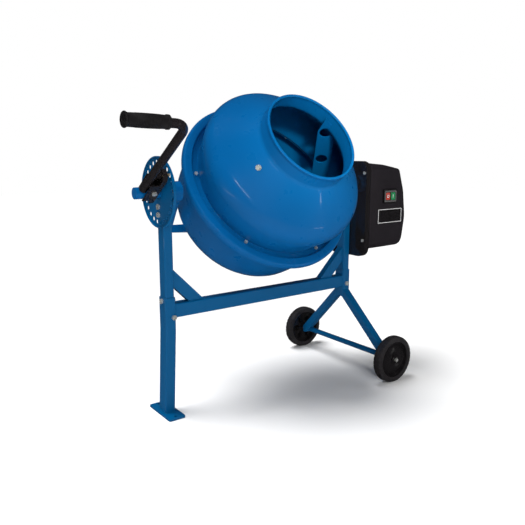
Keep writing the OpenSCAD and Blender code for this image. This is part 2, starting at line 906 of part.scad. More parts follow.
module right_trunnion() {
    color(paint_blue) on_tilt_axis() along_x(yoke_arm_x - yoke_t / 2 - 1)
        ring(trunnion_r, bearing_out_r, tray_x + 1.5 - yoke_arm_x + yoke_t / 2 + 1);
}

module pinion_bearings() {
    color(steel) on_tilt_axis() for (x = [yoke_arm_x - yoke_t / 2, tray_x - 7])
        along_x(x) ring(bearing_out_r, pinion_shaft_r + running_gap, 7);
}

module drum_shaft() {
    color(steel) on_drum_axis() {
        translate([0, 0, yoke_cross_z - 25]) cylinder(r = shaft_r, h = 25 - yoke_cross_z + hub_top_z - 3);
        translate([0, 0, yoke_cross_z + yoke_t / 2])
            cylinder(r = collar_r, h = hub_bottom_z - yoke_cross_z - yoke_t / 2 - 0.5);
    }
}

module shaft_nut() {
    color(zinc) on_drum_axis() translate([0, 0, yoke_cross_z - yoke_t / 2 - 11]) difference() {
        union() {
            hex_head(30, 9);
            translate([0, 0, 9]) cylinder(r = 19, h = 1.5);
        }
        translate([0, 0, -1]) cylinder(r = shaft_r, h = 14);
    }
}

// ---------- tilting lever ----------

// U-shaped bracket on the stub axle that carries the lever and guides the lock pin
module lever_bracket() {
    length = bracket_top - bracket_bottom;
    depth = 37;
    color(gloss_black) on_tilt_axis() difference() {
        along_x(bracket_x - depth) linear_extrude(depth) difference() {
            union() {
                translate([-bracket_top + 20, 0]) circle(bracket_half + bracket_t);
                translate([-bracket_top + 20, -bracket_half - bracket_t])
                    square([length - 20, 2 * (bracket_half + bracket_t)]);
            }
        }
        along_x(bracket_x - depth - 1) linear_extrude(depth - bracket_t + 1) union() {
            translate([-bracket_top + 20, 0]) circle(bracket_half);
            translate([-bracket_top + 20, -bracket_half]) square([length, 2 * bracket_half]);
        }
        // Sloping cut that leaves the cheeks low at the pin and open at the top
        translate([bracket_x - depth - 1, -40, 62]) cube([depth - 12, 80, 60]);
        along_x(bracket_x - depth - 1) cylinder(r = stub_r, h = depth + 2);
        translate([0, 0, pin_e - 1]) along_x(bracket_x - 10) cylinder(r = lock_pin_r + 3, h = 20);
        translate([pivot_x, 0, pivot_e]) along_y(-40) cylinder(r = 4, h = 80);
        // Cheeks cut away below the stub
        translate([bracket_x - depth - 1, -40, bracket_bottom - 1]) cube([depth - 12, 80, 14]);
    }
}

module pivot_bolt() {
    half = bracket_half + bracket_t;
    color(zinc) on_tilt_axis() translate([pivot_x, 0, pivot_e]) {
        along_y(-half) cylinder(r = 4, h = 2 * half);
        along_y(-half - 5) hex_head(13, 5);
        along_y(half) hex_head(13, 6);
    }
}

// Leans the lever tube and its grip towards the drum, about the tube's foot
module leaned() {
    translate([lever_x, 0, lever_foot_e]) rotate([0, lever_lean, 0])
        translate([-lever_x, 0, -lever_foot_e]) children();
}

// Lever tube with its pivot lug; the bend carries on into the grip's core
module lever_tube() {
    lug_w = 2 * bracket_half - 1;
    color(gloss_black) on_tilt_axis() difference() {
        union() {
            leaned() {
                translate([lever_x, 0, lever_foot_e]) cylinder(d = lever_d, h = bend_e - lever_foot_e);
                translate([bend_x, 0, bend_e]) rotate([90, 0, 0])
                    rotate_extrude(angle = 90) translate([lever_bend_r, 0]) circle(d = lever_d);
                along_x(grip_end_x + 6) translate([-lever_len, 0, 0])
                    cylinder(d = lever_d, h = bend_x - grip_end_x - 6);
            }
            translate([lever_x, -5, pivot_e - 9]) cube([pivot_x - lever_x, 10, 18]);
            translate([lever_x, -5, pin_e - 8]) cube([26, 10, 16]);
            translate([pivot_x, 0, pivot_e]) along_y(-lug_w / 2) cylinder(r = 9, h = lug_w);
        }
        translate([pivot_x, 0, pivot_e]) along_y(-40) cylinder(r = 4 + running_gap, h = 80);
        translate([0, 0, pin_e]) along_x(lever_x + 12) cylinder(r = lock_pin_r, h = 40);
    }
}

module lock_pin() {
    color("goldenrod") on_tilt_axis() translate([0, 0, pin_e]) along_x(lever_x + 12)
        cylinder(r = lock_pin_r, h = disc_x - 0.8 - lever_x - 12);
}

module hand_grip() {
    color(rubber_black) on_tilt_axis() leaned() translate([0, 0, lever_len]) along_x(grip_end_x)
        difference() {
            union() {
                rotate_extrude() polygon(grip_profile());
                translate([0, 0, -grip_flange_t]) cylinder(r = grip_flange_r, h = grip_flange_t);
            }
            translate([0, 0, 6]) cylinder(d = lever_d, h = grip_len + 10);
        }
}

// Barrelled grip with a collar at the lever's end
function grip_profile() = [
    [0, 0],
    for (i = [0:12]) [grip_d / 2 - 1.5 + 1.5 * sin(180 * i / 12), grip_len * 0.9 * i / 12],
    [grip_d / 2 - 0.5, grip_len * 0.92], [grip_d / 2 - 0.5, grip_len - 2],
    [grip_d / 2 - 2.5, grip_len], [0, grip_len]];

// ---------- drum ----------

function dome_wall_path() = open_path([
    [neck_r, mouth_z, 0],
    [neck_r, neck_z, 16],
    [dome_r, bulge_z, 55],
    [dome_foot_r, flange_z, 0]], 8);

function dome_path() = open_path([
    [neck_r, mouth_z, 0],
    [neck_r, neck_z, 16],
    [dome_r, bulge_z, 55],
    [dome_foot_r, flange_z, 2],
    [channel_r - 5, flange_z, 2],
    [channel_r, channel_z, 4],
    [ring_r, channel_z, 8],
    [ring_r, skirt_z, 0]], 8);

function pan_path() = open_path([
    [hub_wall_r, -pan_depth, 0],
    [100, -pan_depth, 40],
    [222, -pan_depth + 20, 96],
    [pan_r, -22, 30],
    [pan_r, lip_z, 9],
    [dome_foot_r + 0.5, lip_z, 0]], 8);

// How far the tilted pan reaches behind the tilt axis
function pan_reach() =
    max([for (p = pan_path()) p[0] * cos(drum_tilt) - p[1] * sin(drum_tilt)]);

// A sheet of revolution whose outer face follows the path
module spun_sheet(path, t) {
    rotate_extrude($fn = 120) polygon(concat(path, reverse(beside(path, t))));
}

module clamp_places() {
    for (i = [0:clamp_bolts - 1])
        rotate(clamp_bolt_turn + i * 360 / clamp_bolts) translate([clamp_bolt_r, 0, 0]) children();
}

module drum_dome() {
    color(paint_blue) on_drum_axis() difference() {
        union() {
            spun_sheet(dome_path(), -sheet_t);
            translate([0, 0, mouth_z]) rotate_extrude($fn = 120) translate([neck_r, 0])
                circle(bead_r, $fn = 32);
        }
        clamp_places() translate([0, 0, flange_z - 10]) cylinder(r = small_hole_r, h = 16);
        paddle_bolt_places() cylinder(r = small_hole_r, h = 30, center = true);
    }
}

module drum_pan() {
    color(paint_blue) on_drum_axis() difference() {
        spun_sheet(pan_path(), sheet_t);
        clamp_places() translate([0, 0, lip_z - 10]) cylinder(r = small_hole_r, h = 16);
    }
}

module drum_seal() {
    color(rubber_black) on_drum_axis() difference() {
        translate([0, 0, lip_z]) ring(243, dome_foot_r + 0.5, seal_t);
        clamp_places() translate([0, 0, lip_z - 1]) cylinder(r = small_hole_r, h = seal_t + 2);
    }
}

module clamp_bolts_set() {
    color(zinc) on_drum_axis() clamp_places() translate([0, 0, flange_z])
        bolt(small_bolt_flats, small_bolt_r, 2 * sheet_t + seal_t);
}

// One rack-shaped tooth of the ring gear, its root on the line y = 0
module ring_tooth() {
    depth = ring_root_z - pinion_pitch_r + ring_addendum;
    pitch_half = PI * gear_m / 4 - backlash / 4;
    root_half = pitch_half + (ring_root_z - pinion_pitch_r) * tan(pressure_angle);
    tip_half = pitch_half - ring_addendum * tan(pressure_angle);
    polygon([[-root_half, 0.5], [-root_half, 0], [-tip_half, -depth], [tip_half, -depth],
        [root_half, 0], [root_half, 0.5]]);
}

module ring_gear() {
    color(steel) on_drum_axis() {
        rotate_extrude() polygon([[ring_in_r, ring_root_z], [ring_out_r - 1, ring_root_z],
            [ring_out_r - 1, ring_root_z + 1], [ring_out_r - 5, ring_top_z], [ring_in_r, ring_top_z]]);
        for (i = [0:ring_teeth - 1]) rotate((i + 0.5) * 360 / ring_teeth)
            translate([ring_in_r + 1, 0, ring_root_z]) rotate([90, 0, 90])
                linear_extrude(ring_out_r - ring_in_r - 3) ring_tooth();
    }
}

// The place on the dome's shoulder where a paddle is bolted, square to the sheet
module shoulder_place() {
    translate([shoulder_r, 0, shoulder_z]) rotate([0, shoulder_slope, 0]) children();
}

module paddle_bolt_places() {
    for (s = [0, 180]) rotate(paddle_turn + s) shoulder_place() children();
}

module paddle_bolts() {
    color(zinc) on_drum_axis() paddle_bolt_places()
        bolt(small_bolt_flats, small_bolt_r, sheet_t + paddle_t + 0.5);
}

// Mixing paddle: a slanted strip with a pointed top and a tab bolted under the dome's shoulder
module paddle(turn) {
    color(paint_blue) on_drum_axis() rotate(turn) difference() {
        intersection() {
            union() {
                paddle_tab();
                paddle_blade();
            }
            dome_inside();
        }
        shoulder_place() cylinder(r = small_hole_r, h = 30, center = true);
    }
}

module paddle_tab() {
    shoulder_place() translate([-14, -15, -sheet_t - paddle_t - 0.1]) cube([28, 30, paddle_t]);
}

// The blade's plane is parallel to the drum axis and stands off from it
module paddle_blade() {
    rotate(-paddle_twist) translate([0, paddle_offset + paddle_t / 2, 0]) rotate([90, 0, 0])
        linear_extrude(paddle_t) translate(paddle_middle) rotate(paddle_slant) difference() {
            polygon([[-7, 122], [-paddle_w / 2, 72], [-paddle_w / 2, -150], [paddle_w / 2, -150],
                [paddle_w / 2, 85], [6, 102]]);
            for (y = [66, -46]) translate([-3, y]) circle(paddle_hole_r);
        }
}

// The room inside the dome, down to just below the clamping ring
module dome_inside() {
    wall = beside(dome_wall_path(), -sheet_t - 0.05);
    rotate_extrude($fn = 120) polygon(concat([[0, mouth_z]], wall,
        [[dome_foot_r - sheet_t - 0.05, -60], [0, -60]]));
}

module paddle_upper() {
    paddle(paddle_turn);
}

module paddle_lower() {
    paddle(paddle_turn + 180);
}

module drum_hub() {
    color(paint_blue) on_drum_axis() {
        translate([0, 0, hub_bottom_z]) ring(hub_wall_r, hub_bore_r, hub_top_z - hub_bottom_z);
        translate([0, 0, hub_top_z]) cylinder(r = hub_wall_r, h = 4);
        translate([0, 0, -pan_depth - hub_flange_t]) ring(hub_flange_r, hub_wall_r - 1, hub_flange_t);
    }
}

module hub_bearings() {
    color(steel) on_drum_axis() for (z = [hub_bottom_z + 1, hub_top_z - 1 - bearing_w])
        translate([0, 0, z]) ring(hub_bore_r, shaft_r + running_gap, bearing_w);
}

// ---------- drive ----------

function involute(angle) = tan(angle) - angle * PI / 180;

// Half of a pinion tooth's angle at a radius
function half_tooth(r) =
    let (base = pinion_pitch_r * cos(pressure_angle))
    let (pitch_half = 90 / pinion_teeth - backlash / 4 / pinion_pitch_r * 180 / PI)
    pitch_half + (involute(pressure_angle) - involute(acos(min(1, base / r)))) * 180 / PI;

module pinion_outline() {
    base = pinion_pitch_r * cos(pressure_angle);
    radii = [pinion_root_r, for (i = [0:5]) base + (pinion_tip_r - base) * i / 5];
    flank = [for (r = radii) [r, half_tooth(max(r, base))]];
    polygon([for (k = [0:pinion_teeth - 1]) let (mid = k * 360 / pinion_teeth) each concat(
        [for (f = flank) f[0] * [cos(mid - f[1]), sin(mid - f[1])]],
        [for (f = reverse(flank)) f[0] * [cos(mid + f[1]), sin(mid + f[1])]])]);
}

module pinion() {
    color(steel) on_tilt_axis() along_x(pinion_x - pinion_face / 2) linear_extrude(pinion_face)
        difference() {
            pinion_outline();
            circle(pinion_shaft_r);
        }
}

module pinion_shaft() {
    start = pinion_x - pinion_face / 2 - 1;
    color(steel) on_tilt_axis() {
        along_x(start) cylinder(r = pinion_shaft_r, h = shaft_end_x - start);
        along_x(start - 2) cylinder(r = 10, h = 2);
        along_x(shaft_end_x - 4) ring(10.5, pinion_shaft_r, 2);
    }
}

module drive_pulley() {
    color(gloss_black) on_tilt_axis() along_x(pulley_x) difference() {
        pulley(pulley_r, pinion_shaft_r, 2);
        for (i = [0:5]) rotate(i * 60) translate([36, 0, -1]) cylinder(r = 11, h = pulley_w + 2);
    }
}

module rotor_shaft() {
    color(steel) placed() translate([0, 0, motor_z]) {
        along_x(pulley_x - 3) cylinder(r = rotor_r, h = fan_x + fan_t + 1 - pulley_x + 3);
        along_x(motor_x + 16) cylinder(r = 30, h = motor_len - 32);
    }
}

module motor_pulley() {
    color(steel) placed() translate([0, 0, motor_z]) along_x(pulley_x) pulley(motor_pulley_r, rotor_r, 2);
}

module cooling_fan() {
    color(gloss_black) placed() translate([0, 0, motor_z]) along_x(fan_x) difference() {
        union() {
            cylinder(r = 14, h = fan_t);
            cylinder(r = fan_r, h = 2);
            for (i = [0:8]) rotate(i * 40) translate([12, -1, 0]) cube([fan_r - 13, 2, fan_t]);
        }
        translate([0, 0, -1]) cylinder(r = rotor_r, h = fan_t + 2);
    }
}

// ---------- wheels ----------

module at_wheel(side) {
    placed() translate([axle_x, side * wheel_mid_y, wheel_r]) rotate([side > 0 ? -90 : 90, 0, 0])
        children();
}

// Tyre with a crowned tread and two side grooves
function tyre_profile() = let (h = tyre_w / 2, r = wheel_r) closed_path([
    [rim_r, -h + 2, 1], [rim_r + 5, -h, 2], [r - 6, -h, 3], [r - 5, -h + 3, 1], [r, -h + 7, 3],
    [r, h - 7, 3], [r - 5, h - 3, 1], [r - 6, h, 3], [rim_r + 5, h, 2], [rim_r, h - 2, 1]], 3);

module tyre() {
    rotate_extrude() polygon(tyre_profile());
}

// Dished rim: barrel, web with windows, hub
module rim() {
    h = tyre_w / 2;
    difference() {
        union() {
            translate([0, 0, -h + 3]) ring(rim_r, rim_r - 4, 2 * h - 6);
            translate([0, 0, -3]) ring(rim_r - 2, 12, 6);
            translate([0, 0, -hub_half]) ring(15, axle_r + running_gap, 2 * hub_half);
        }
        for (i = [0:5]) rotate(i * 60) translate([32, 0, -4]) cylinder(r = 10.5, h = 8, $fn = 48);
        translate([0, 0, -hub_half - 1]) cylinder(r = axle_r + running_gap, h = 2 * hub_half + 2);
    }
}

module front_tyre() {
    color(rubber_black) at_wheel(-1) tyre();
}

module front_rim() {
    color(gloss_black) at_wheel(-1) rim();
}

module rear_tyre() {
    color(rubber_black) at_wheel(1) tyre();
}

module rear_rim() {
    color(gloss_black) at_wheel(1) rim();
}

// ---------- assembly ----------

support_leg();
foot_plate();
cross_beam();
left_post();
right_post();
right_sleeve();
left_brace();
right_brace();
trunnion_bushes();
locking_disc();
strut_front();
strut_rear();
axle_tube();
wheel_axle();
frame_bolts();
axle_retainers();
motor_tray();
tray_bolts();
motor_cover();
cover_screws();
motor_body();
motor_mount();
drive_belt();
switch_housing();
power_inlet();
yoke_arm_left();
yoke_arm_right();
yoke_cross();
left_trunnion();
right_trunnion();
drum_shaft();
shaft_nut();
lever_bracket();
pivot_bolt();
pinion_bearings();
lever_tube();
hand_grip();
lock_pin();
drum_pan();
drum_dome();
drum_seal();
ring_gear();
paddle_upper();
paddle_lower();
clamp_bolts_set();
paddle_bolts();
drum_hub();
hub_bearings();
pinion();
pinion_shaft();
drive_pulley();
rotor_shaft();
motor_pulley();
cooling_fan();
front_tyre();
front_rim();
rear_tyre();
rear_rim();
start_button();
stop_button();
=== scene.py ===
"""Looks of a tilting-drum concrete mixer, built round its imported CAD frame. Metres, +Z up."""
import json
import math

import bmesh
import bpy
from mathutils import Matrix, Vector, noise


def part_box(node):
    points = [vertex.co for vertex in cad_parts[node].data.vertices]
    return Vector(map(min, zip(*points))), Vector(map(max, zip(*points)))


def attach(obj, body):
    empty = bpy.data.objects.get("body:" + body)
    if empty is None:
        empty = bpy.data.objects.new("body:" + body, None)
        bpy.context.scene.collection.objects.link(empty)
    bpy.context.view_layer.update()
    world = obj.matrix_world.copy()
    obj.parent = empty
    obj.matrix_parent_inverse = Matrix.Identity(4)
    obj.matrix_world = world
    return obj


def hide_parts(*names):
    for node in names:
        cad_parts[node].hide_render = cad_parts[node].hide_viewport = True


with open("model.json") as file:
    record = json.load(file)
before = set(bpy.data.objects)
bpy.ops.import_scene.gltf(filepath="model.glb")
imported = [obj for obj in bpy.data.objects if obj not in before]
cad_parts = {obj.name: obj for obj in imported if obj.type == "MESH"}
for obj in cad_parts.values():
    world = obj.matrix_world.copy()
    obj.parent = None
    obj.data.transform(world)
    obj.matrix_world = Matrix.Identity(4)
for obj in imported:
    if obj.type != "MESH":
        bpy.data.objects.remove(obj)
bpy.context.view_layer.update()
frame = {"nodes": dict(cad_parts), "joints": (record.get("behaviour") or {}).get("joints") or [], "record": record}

MM = 0.001
SHARP_ANGLE = math.radians(38)
TO_RIGHT, TO_REAR, UP = Vector((1, 0, 0)), Vector((0, 1, 0)), Vector((0, 0, 1))

RECORD = frame["record"]
JOINTS = {joint["name"]: joint for joint in frame["joints"]}
NODE_BODY = {node: body for body, nodes in RECORD["behaviour"]["bodies"].items() for node in nodes}
NODE_SLOT = {part["node"]: part["material_slot"] for part in RECORD["subparts"]}

TILT_AT = Vector(JOINTS["drum_tilt"]["pos_m"])
TILT_AXIS = Vector(JOINTS["drum_tilt"]["axis"])
DRUM_AT = Vector(JOINTS["drum_spin"]["pos_m"])
DRUM_AXIS = Vector(JOINTS["drum_spin"]["axis"])


def axes_frame(at, x, z):
    """A matrix that puts local X and Z along x and z, with its origin at a point."""
    turn = Matrix((x, z.cross(x), z)).transposed().to_4x4()
    turn.translation = at
    return turn


# ---------- materials ----------

class Shader:
    """A node material under construction, in object coordinates."""

    def __init__(self, name):
        self.material = bpy.data.materials.new(name)
        self.material.use_nodes = True
        self.nodes = self.material.node_tree.nodes
        self.links = self.material.node_tree.links
        self.surface = self.nodes["Principled BSDF"]
        self.place = self.nodes.new("ShaderNodeTexCoord").outputs["Object"]

    def socket(self, name, value):
        """Sets a value that is the same all over the surface."""
        self.surface.inputs[name].default_value = value

    def feed(self, output, name):
        self.links.new(output, self.surface.inputs[name])

    def noise(self, scale, detail, stretch=(1, 1, 1)):
        mapping = self.nodes.new("ShaderNodeMapping")
        mapping.inputs["Scale"].default_value = stretch
        self.links.new(self.place, mapping.inputs["Vector"])
        texture = self.nodes.new("ShaderNodeTexNoise")
        texture.inputs["Scale"].default_value = scale
        texture.inputs["Detail"].default_value = detail
        self.links.new(mapping.outputs["Vector"], texture.inputs["Vector"])
        return texture.outputs["Fac"]

    def cells(self, scale):
        texture = self.nodes.new("ShaderNodeTexVoronoi")
        texture.inputs["Scale"].default_value = scale
        self.links.new(self.place, texture.inputs["Vector"])
        return texture.outputs["Distance"]

    def spread(self, value, low, high, start=0.3, end=0.7):
        """Maps a noise value between start and end onto the range from low to high."""
        node = self.nodes.new("ShaderNodeMapRange")
        node.inputs["From Min"].default_value = start
        node.inputs["From Max"].default_value = end
        node.inputs["To Min"].default_value = low
        node.inputs["To Max"].default_value = high
        self.links.new(value, node.inputs["Value"])
        return node.outputs["Result"]

    def mottle(self, value, colour_a, colour_b, start=0.3, end=0.7):
        """Drifts the base colour between two colours, patch by patch."""
        node = self.nodes.new("ShaderNodeMix")
        node.data_type = "RGBA"
        node.inputs["A"].default_value = (*colour_a, 1)
        node.inputs["B"].default_value = (*colour_b, 1)
        self.links.new(self.spread(value, 0, 1, start, end), node.inputs["Factor"])
        self.feed(node.outputs["Result"], "Base Color")

    def roughness(self, value, low, high):
        self.feed(self.spread(value, low, high), "Roughness")

    def bump(self, value, strength, distance):
        node = self.nodes.new("ShaderNodeBump")
        node.inputs["Strength"].default_value = strength
        node.inputs["Distance"].default_value = distance
        self.links.new(value, node.inputs["Height"])
        self.feed(node.outputs["Normal"], "Normal")


def shade(colour, factor):
    return tuple(channel * factor for channel in colour)


def painted_metal(name, colour, rough, coat):
    """Powder coat with a faint colour drift and rubbed patches."""
    shader = Shader(name)
    shader.mottle(shader.noise(4, 3), shade(colour, 0.93), colour)
    shader.roughness(shader.noise(30, 4), rough - 0.04, rough + 0.05)
    shader.socket("Specular IOR Level", 0.15)
    shader.socket("Coat Weight", coat)
    shader.socket("Coat Roughness", 0.04)
    return shader.material


def plated_metal(name, colour, tint, rough):
    """Bright plating with a faint passivation tint and handling marks."""
    shader = Shader(name)
    shader.socket("Metallic", 0.7)
    shader.mottle(shader.noise(160, 3), colour, tint)
    shader.roughness(shader.noise(420, 4), rough - 0.08, rough + 0.14)
    shader.bump(shader.noise(1500, 2), 0.06, 0.1 * MM)
    return shader.material


def turned_metal(name, colour, rough, stretch):
    """Machined steel with tool marks across one direction."""
    shader = Shader(name)
    shader.socket("Metallic", 1.0)
    shader.mottle(shader.noise(30, 3), shade(colour, 0.75), colour)
    marks = shader.noise(900, 2, stretch)
    shader.roughness(marks, rough - 0.08, rough + 0.1)
    shader.bump(marks, 0.1, 0.1 * MM)
    return shader.material


def cast_metal(name, colour, rough):
    """Rough casting, darkened by grease in places."""
    shader = Shader(name)
    shader.socket("Metallic", 0.85)
    shader.mottle(shader.noise(60, 4), shade(colour, 0.45), colour)
    shader.roughness(shader.noise(90, 4), rough - 0.2, rough + 0.15)
    shader.bump(shader.noise(700, 4), 0.35, 0.4 * MM)
    return shader.material


def moulded_plastic(name, colour, rough, grain, coat=0.0):
    """Injection-moulded plastic with a fine tool grain and scuffs."""
    shader = Shader(name)
    shader.mottle(shader.noise(14, 4), shade(colour, 0.86), colour)
    shader.roughness(shader.noise(55, 6), rough - 0.05, rough + 0.08)
    shader.socket("Coat Weight", coat)
    shader.socket("Coat Roughness", 0.1)
    shader.bump(shader.cells(1900), grain, 0.12 * MM)
    return shader.material


def soft_rubber(name, colour, rough, grain):
    """Matt rubber with dusty patches and a pebbled skin."""
    shader = Shader(name)
    dusty = tuple(channel + 0.012 for channel in colour)
    shader.mottle(shader.noise(32, 5), colour, dusty, 0.45, 0.8)
    shader.roughness(shader.noise(120, 4), rough - 0.08, rough + 0.1)
    shader.socket("Specular IOR Level", 0.4)
    shader.bump(shader.noise(1300, 3), grain, 0.2 * MM)
    return shader.material


DRUM_PAINT = (0.001, 0.097, 0.295)
FRAME_PAINT = (0.001, 0.088, 0.235)
MATERIALS = {
    # The record's material slots
    "blue_paint": painted_metal("blue_paint", DRUM_PAINT, 0.30, 0.55),
    "black_paint": painted_metal("black_paint", (0.014, 0.012, 0.013), 0.26, 0.6),
    "zinc_plate": plated_metal("zinc_plate", (0.78, 0.79, 0.81), (0.72, 0.74, 0.66), 0.24),
    "brass_pin": plated_metal("brass_pin", (0.75, 0.6, 0.34), (0.6, 0.45, 0.22), 0.26),
    "machined_steel": turned_metal("machined_steel", (0.55, 0.55, 0.57), 0.33, (1, 0.04, 0.04)),
    "cast_gear": cast_metal("cast_gear", (0.17, 0.17, 0.18), 0.5),
    "black_gloss_plastic": moulded_plastic("black_gloss_plastic", (0.010, 0.009, 0.010), 0.17, 0.03, 0.4),
    "dark_plastic": moulded_plastic("dark_plastic", (0.016, 0.013, 0.017), 0.40, 0.2),
    "green_plastic": moulded_plastic("green_plastic", (0.025, 0.24, 0.09), 0.25, 0.03, 0.5),
    "red_plastic": moulded_plastic("red_plastic", (0.42, 0.055, 0.04), 0.25, 0.03, 0.5),
    "black_rubber": soft_rubber("black_rubber", (0.010, 0.009, 0.010), 0.50, 0.3),
    "tyre_rubber": soft_rubber("tyre_rubber", (0.021, 0.019, 0.021), 0.40, 0.25),
    # Finishes of their own within a slot
    "frame_blue": painted_metal("frame_blue", FRAME_PAINT, 0.34, 0.5),
    "grey_print": moulded_plastic("grey_print", (0.10, 0.10, 0.10), 0.35, 0.05),
    "light_print": moulded_plastic("light_print", (0.72, 0.72, 0.72), 0.45, 0.02),
}


# ---------- mesh helpers ----------

def add_piece(mesh, body, slot, material=None, bevel=0.0, segments=2):
    """Links a mesh, under its own name, as a piece that rides on a body."""
    piece = bpy.data.objects.new(mesh.name, mesh)
    bpy.context.scene.collection.objects.link(piece)
    mesh.materials.append(MATERIALS[material or slot])
    mesh.shade_smooth()
    mesh.set_sharp_from_angle(angle=SHARP_ANGLE)
    if bevel:
        round_edges(piece, bevel, segments)
    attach(piece, body)
    return piece


def round_edges(piece, width, segments=2):
    modifier = piece.modifiers.new("edges", "BEVEL")
    modifier.width = width
    modifier.segments = segments
    modifier.limit_method = "ANGLE"
    modifier.angle_limit = SHARP_ANGLE
    modifier.harden_normals = True


def mesh_from(name, verts, faces, matrix=Matrix.Identity(4)):
    mesh = bpy.data.meshes.new(name)
    mesh.from_pydata([matrix @ Vector(v) for v in verts], [], faces)
    mesh.validate()
    mesh.update()
    return mesh


def mesh_of(name, build):
    """The mesh of a finished bmesh, which is freed."""
    mesh = bpy.data.meshes.new(name)
    build.to_mesh(mesh)
    build.free()
    return mesh


def revolved(name, profile, matrix, count, wobble=None):
    """A closed profile of (radius, height) turned about local Z; wobble(r, z, angle) shifts the radius."""
    verts = []
    for step in range(count):
        angle = math.tau * step / count
        for r, z in profile:
            radius = r + (wobble(r, z, angle) if wobble else 0)
            verts.append((radius * math.cos(angle), radius * math.sin(angle), z))
    size = len(profile)
    faces = []
    for step in range(count):
        here, there = step * size, (step + 1) % count * size
        for i in range(size):
            j = (i + 1) % size
            faces.append((here + i, there + i, there + j, here + j))
    return mesh_from(name, verts, faces, matrix)


def extruded(name, outline, matrix, length):
    """An outline in local XY pushed along local Z."""
    size = len(outline)
    verts = [(x, y, 0) for x, y in outline] + [(x, y, length) for x, y in outline]
    faces = [tuple(reversed(range(size))), tuple(range(size, 2 * size))]
    faces += [(i, (i + 1) % size, size + (i + 1) % size, size + i) for i in range(size)]
    return mesh_from(name, verts, faces, matrix)


def rounded_outline(width, height, radius, steps=6):
    corners = [(1, 1, 0), (-1, 1, 90), (-1, -1, 180), (1, -1, 270)]
    points = []
    for sx, sy, start in corners:
        for step in range(steps + 1):
            angle = math.radians(start + 90 * step / steps)
            points.append((sx * (width / 2 - radius) + radius * math.cos(angle),
                           sy * (height / 2 - radius) + radius * math.sin(angle)))
    return points


def framed_plate(name, outer, inner, matrix, length):
    """The band between two outlines with the same number of points, pushed along local Z."""
    size = len(outer)
    rings = [[(x, y, z) for x, y in outline] for outline, z in
             ((outer, 0), (outer, length), (inner, length), (inner, 0))]
    faces = []
    for k in range(4):
        for i in range(size):
            j = (i + 1) % size
            a, b = k * size, (k + 1) % 4 * size
            faces.append((a + i, a + j, b + j, b + i))
    return mesh_from(name, [v for ring in rings for v in ring], faces, matrix)


# ---------- CAD nodes: finish and edge radii ----------

# A CAD mesh has split corners: those closer than this are welded, and edges flatter than this are smooth
WELD_GAP = 0.004 * MM
SMOOTH_ANGLE = math.radians(32)


def soft_edge_group():
    """Geometry nodes that weld the split corners of a CAD mesh and shade it smooth up to sharp edges."""
    tree = bpy.data.node_groups.new("weld_and_smooth", "GeometryNodeTree")
    tree.interface.new_socket("Geometry", in_out="INPUT", socket_type="NodeSocketGeometry")
    tree.interface.new_socket("Geometry", in_out="OUTPUT", socket_type="NodeSocketGeometry")
    new, link = tree.nodes.new, tree.links.new
    source, result = new("NodeGroupInput"), new("NodeGroupOutput")
    drop = new("GeometryNodeRemoveAttribute")
    drop.inputs["Name"].default_value = "custom_normal"
    weld = new("GeometryNodeMergeByDistance")
    weld.inputs["Distance"].default_value = WELD_GAP
    faces = new("GeometryNodeSetShadeSmooth")
    faces.domain = "FACE"
    angle = new("GeometryNodeInputMeshEdgeAngle")
    gentle = new("FunctionNodeCompare")
    gentle.operation = "LESS_THAN"
    gentle.inputs["B"].default_value = SMOOTH_ANGLE
    edges = new("GeometryNodeSetShadeSmooth")
    edges.domain = "EDGE"
    link(source.outputs[0], drop.inputs["Geometry"])
    link(drop.outputs["Geometry"], weld.inputs["Geometry"])
    link(weld.outputs["Geometry"], faces.inputs["Geometry"])
    link(faces.outputs["Geometry"], edges.inputs["Geometry"])
    link(angle.outputs["Unsigned Angle"], gentle.inputs["A"])
    link(gentle.outputs["Result"], edges.inputs["Shade Smooth"])
    link(edges.outputs["Geometry"], result.inputs[0])
    return tree


EDGE_RADII = {
    2.5 * MM: ["motor_cover"],
    0.9 * MM: ["left_brace", "right_brace", "yoke_arm_left", "yoke_arm_right", "yoke_cross", "foot_plate"],
    0.5 * MM: ["cross_beam", "left_post", "right_post", "right_sleeve", "support_leg", "strut_front",
               "strut_rear", "axle_tube", "left_trunnion", "right_trunnion", "locking_disc",
               "lever_bracket", "paddle_upper", "paddle_lower", "switch_housing", "start_button",
               "stop_button", "power_inlet", "motor_tray", "lever_tube"],
    0.35 * MM: ["frame_bolts", "tray_bolts", "clamp_bolts_set", "paddle_bolts", "pivot_bolt",
                "shaft_nut", "cover_screws", "wheel_axle", "axle_retainers", "lock_pin"],
}
# Formed sheets that are smoothed but keep their edges
SMOOTHED = ["drum_pan", "drum_dome"]


def finish_cad_nodes():
    group = soft_edge_group()
    radii = {node: width for width, nodes in EDGE_RADII.items() for node in nodes}
    for node, piece in frame["nodes"].items():
        slot = NODE_SLOT[node]
        on_frame = slot == "blue_paint" and NODE_BODY[node] == "frame"
        piece.data.materials.clear()
        piece.data.materials.append(MATERIALS["frame_blue" if on_frame else slot])
        if node in radii or node in SMOOTHED:
            piece.modifiers.new("weld", "NODES").node_group = group
        if node in radii:
            round_edges(piece, radii[node])


# ---------- wheels ----------

WHEELS = {"front": -1, "rear": 1}

# Tyre: two grooves round the middle of the tread, and lugs from there out to both shoulders
TYRE_WALL = 17 * MM
TREAD_EDGE = 1.6 * MM
TREAD_STEPS = 44
SHOULDER_DROP = 4.5 * MM
GROOVE_AT = 4.2 * MM
GROOVE_W = 1.4 * MM
GROOVE_DEPTH = 1.6 * MM
LUGS = 34
LUG_FROM = 6.5 * MM
LUG_GAP = 0.16
LUG_DEPTH = 1.3 * MM

